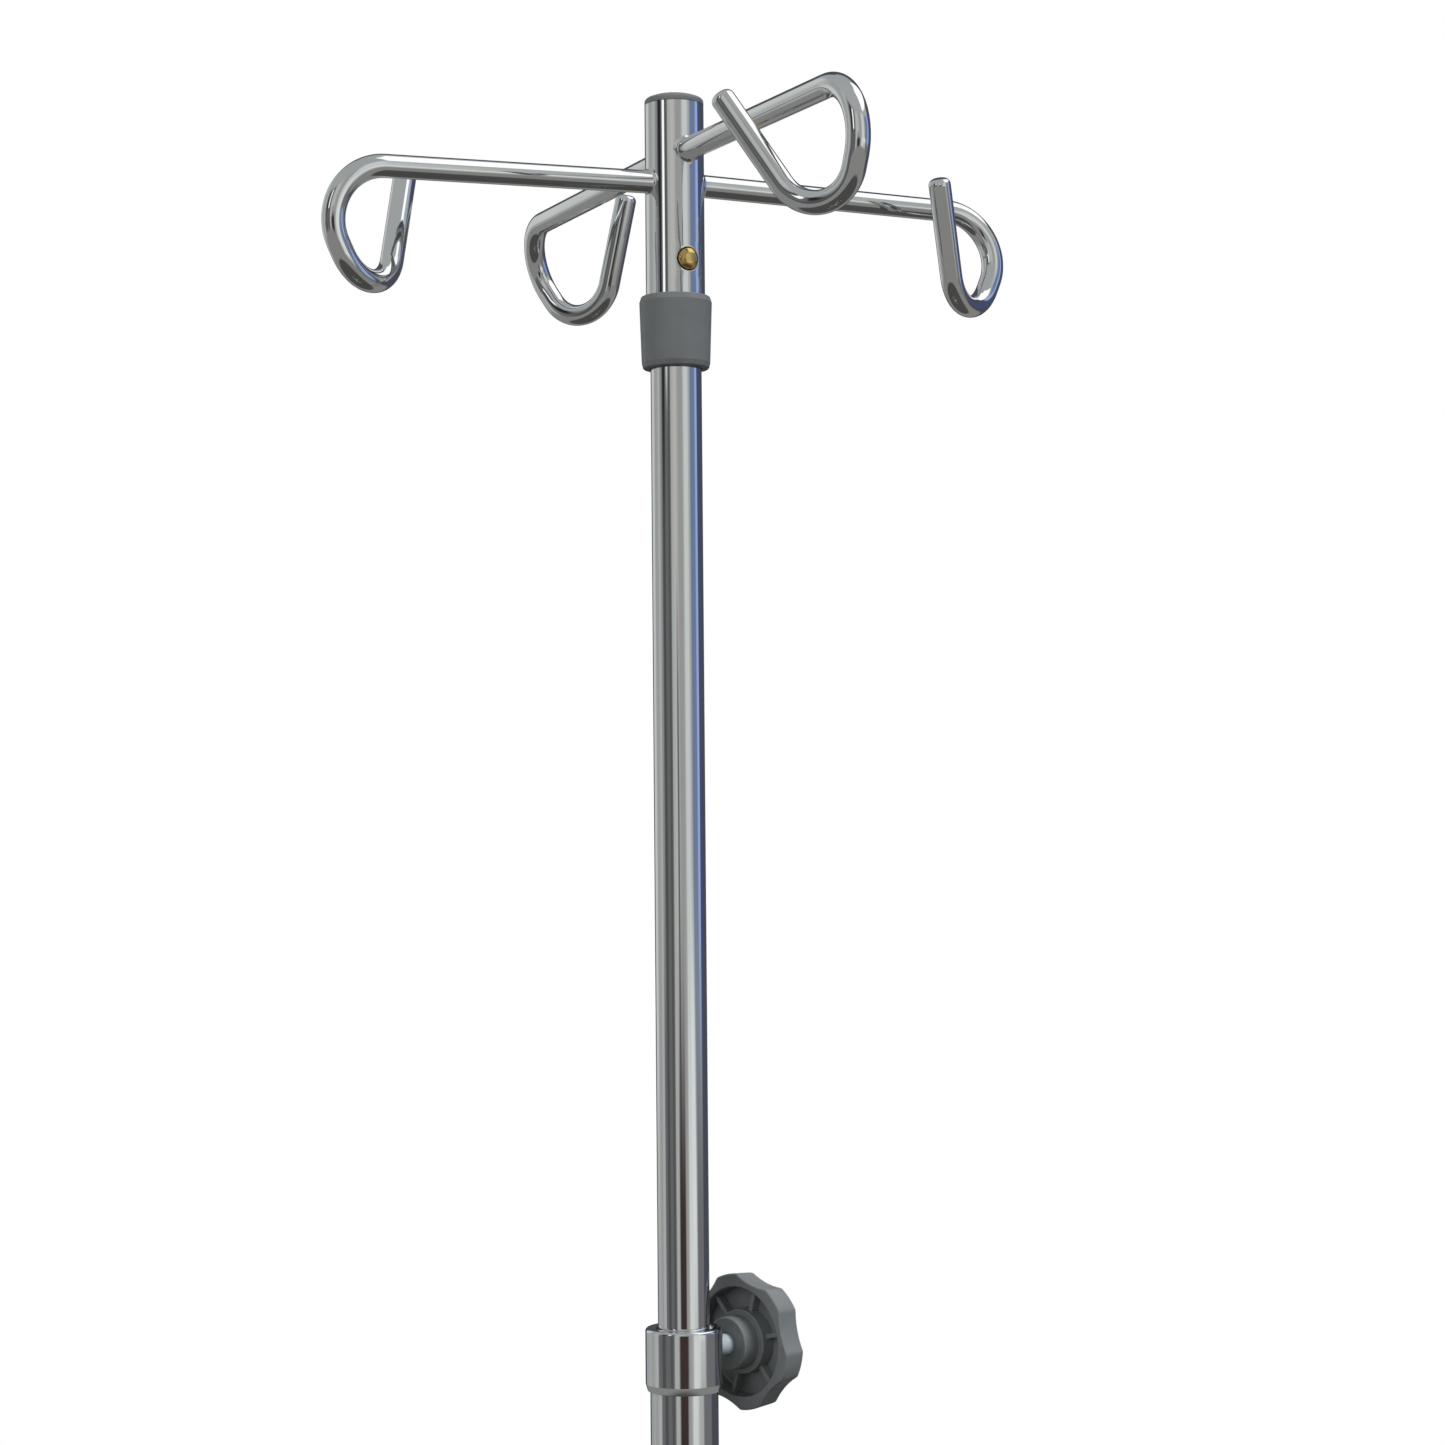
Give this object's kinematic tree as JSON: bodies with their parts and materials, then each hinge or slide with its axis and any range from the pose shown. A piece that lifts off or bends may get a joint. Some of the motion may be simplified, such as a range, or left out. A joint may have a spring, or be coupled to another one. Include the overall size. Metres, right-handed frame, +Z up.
{
  "type": "iv pole",
  "caption": "Free-standing height-adjustable IV pole: chrome telescopic tube with a hand-knob clamp, a push-fit head with bent-rod bag hooks, and a legged castor base.",
  "frame": {"origin": "on the floor, on the pole's axis", "axes": "+Z up along the pole, +X along the right-hand hook, +Y along the back hook and the first leg"},
  "size_m": [0.529, 0.5476, 1.5325],
  "materials": {
    "chrome_tube": "bright chrome plate on drawn tube",
    "chrome_rod": "bright chrome plate on bent rod",
    "chrome_collar": "bright chrome plate on a turned collar",
    "zinc": "bright zinc plate",
    "spring_steel": "plain spring strip",
    "brass": "polished brass",
    "grey_plastic": "moulded mid-grey, satin",
    "nylon": "natural nylon",
    "grey_paint": "light grey powder coat on cast aluminium",
    "grey_rubber": "non-marking grey rubber"
  },
  "bodies": {
    "stand": {"outer_tube": "chrome_tube", "coupling": "chrome_collar", "guide_bush": "nylon", "base_hub": "grey_paint", "base_plate": "zinc", "tube_plug": "zinc", "retaining_washer": "zinc", "retaining_bolt": "zinc", "leg_1": "grey_paint", "castor_stem_1": "zinc", "leg_2": "grey_paint", "castor_stem_2": "zinc", "leg_3": "grey_paint", "castor_stem_3": "zinc", "leg_4": "grey_paint", "castor_stem_4": "zinc", "leg_5": "grey_paint", "castor_stem_5": "zinc"},
    "glide": {"inner_tube_glide": "nylon"},
    "mast": {"inner_tube": "chrome_tube", "head_tube": "chrome_tube", "head_cap": "grey_plastic", "hook_right": "chrome_rod", "hook_back": "chrome_rod", "hook_left": "chrome_rod", "hook_front": "chrome_rod", "collar_sleeve": "grey_plastic", "button_spring": "spring_steel"},
    "button": {"snap_button": "brass"},
    "clamp_pad": {"thrust_pad": "brass"},
    "knob": {"clamp_stud": "zinc", "knob": "grey_plastic"},
    "fork_1": {"castor_fork_1": "zinc", "castor_axle_1": "zinc"},
    "wheel_1": {"castor_wheel_1": "grey_plastic", "castor_tyre_1": "grey_rubber"},
    "fork_2": {"castor_fork_2": "zinc", "castor_axle_2": "zinc", "brake_pin_2": "zinc"},
    "wheel_2": {"castor_wheel_2": "grey_plastic", "castor_tyre_2": "grey_rubber"},
    "brake_2": {"brake_pedal_2": "grey_plastic"},
    "fork_3": {"castor_fork_3": "zinc", "castor_axle_3": "zinc"},
    "wheel_3": {"castor_wheel_3": "grey_plastic", "castor_tyre_3": "grey_rubber"},
    "fork_4": {"castor_fork_4": "zinc", "castor_axle_4": "zinc"},
    "wheel_4": {"castor_wheel_4": "grey_plastic", "castor_tyre_4": "grey_rubber"},
    "fork_5": {"castor_fork_5": "zinc", "castor_axle_5": "zinc", "brake_pin_5": "zinc"},
    "wheel_5": {"castor_wheel_5": "grey_plastic", "castor_tyre_5": "grey_rubber"},
    "brake_5": {"brake_pedal_5": "grey_plastic"}
  },
  "joints": [
    {"name": "mast_slide", "type": "slide", "parent": "stand", "child": "glide", "axis": [0, 0, 1], "range_m": [-0.35, 0.45]},
    {"name": "mast_swivel", "type": "hinge", "parent": "glide", "child": "mast", "pos_m": [0, 0, 1.068], "axis": [0, 0, 1], "continuous": true},
    {"name": "button_press", "type": "slide", "parent": "mast", "child": "button", "axis": [0, 1, 0], "range_m": [0, 0.0034], "stiffness_N_per_m": 600, "springref_m": -0.002},
    {"name": "pad_slide", "type": "slide", "parent": "stand", "child": "clamp_pad", "axis": [0.9511, 0.309, 0], "range_m": [0, 0.00125]},
    {"name": "knob_turn", "type": "hinge", "parent": "clamp_pad", "child": "knob", "pos_m": [0, 0, 1.068], "axis": [0.9511, 0.309, 0], "range_deg": [0, 360]},
    {"name": "castor_swivel_1", "type": "hinge", "parent": "stand", "child": "fork_1", "pos_m": [0, 0.25814, 0.08], "axis": [0, 0, 1], "continuous": true},
    {"name": "wheel_roll_1", "type": "hinge", "parent": "fork_1", "child": "wheel_1", "pos_m": [0, 0.22464, 0.0315], "axis": [1, 0, 0], "continuous": true},
    {"name": "castor_swivel_2", "type": "hinge", "parent": "stand", "child": "fork_2", "pos_m": [-0.2455, 0.07977, 0.08], "axis": [0, 0, 1], "continuous": true},
    {"name": "wheel_roll_2", "type": "hinge", "parent": "fork_2", "child": "wheel_2", "pos_m": [-0.2455, 0.04627, 0.0315], "axis": [1, 0, 0], "continuous": true},
    {"name": "brake_press_2", "type": "hinge", "parent": "fork_2", "child": "brake_2", "pos_m": [-0.2455, 0.05977, 0.0735], "axis": [1, 0, 0], "range_deg": [0, 8]},
    {"name": "castor_swivel_3", "type": "hinge", "parent": "stand", "child": "fork_3", "pos_m": [-0.15173, -0.20884, 0.08], "axis": [0, 0, 1], "continuous": true},
    {"name": "wheel_roll_3", "type": "hinge", "parent": "fork_3", "child": "wheel_3", "pos_m": [-0.15173, -0.24234, 0.0315], "axis": [1, 0, 0], "continuous": true},
    {"name": "castor_swivel_4", "type": "hinge", "parent": "stand", "child": "fork_4", "pos_m": [0.15173, -0.20884, 0.08], "axis": [0, 0, 1], "continuous": true},
    {"name": "wheel_roll_4", "type": "hinge", "parent": "fork_4", "child": "wheel_4", "pos_m": [0.15173, -0.24234, 0.0315], "axis": [1, 0, 0], "continuous": true},
    {"name": "castor_swivel_5", "type": "hinge", "parent": "stand", "child": "fork_5", "pos_m": [0.2455, 0.07977, 0.08], "axis": [0, 0, 1], "continuous": true},
    {"name": "wheel_roll_5", "type": "hinge", "parent": "fork_5", "child": "wheel_5", "pos_m": [0.2455, 0.04627, 0.0315], "axis": [1, 0, 0], "continuous": true},
    {"name": "brake_press_5", "type": "hinge", "parent": "fork_5", "child": "brake_5", "pos_m": [0.2455, 0.05977, 0.0735], "axis": [1, 0, 0], "range_deg": [0, 8]}
  ],
  "couplings": [
    {"joint": "pad_slide", "follows": "knob_turn", "m_per_rad": 0.00019894}
  ]
}
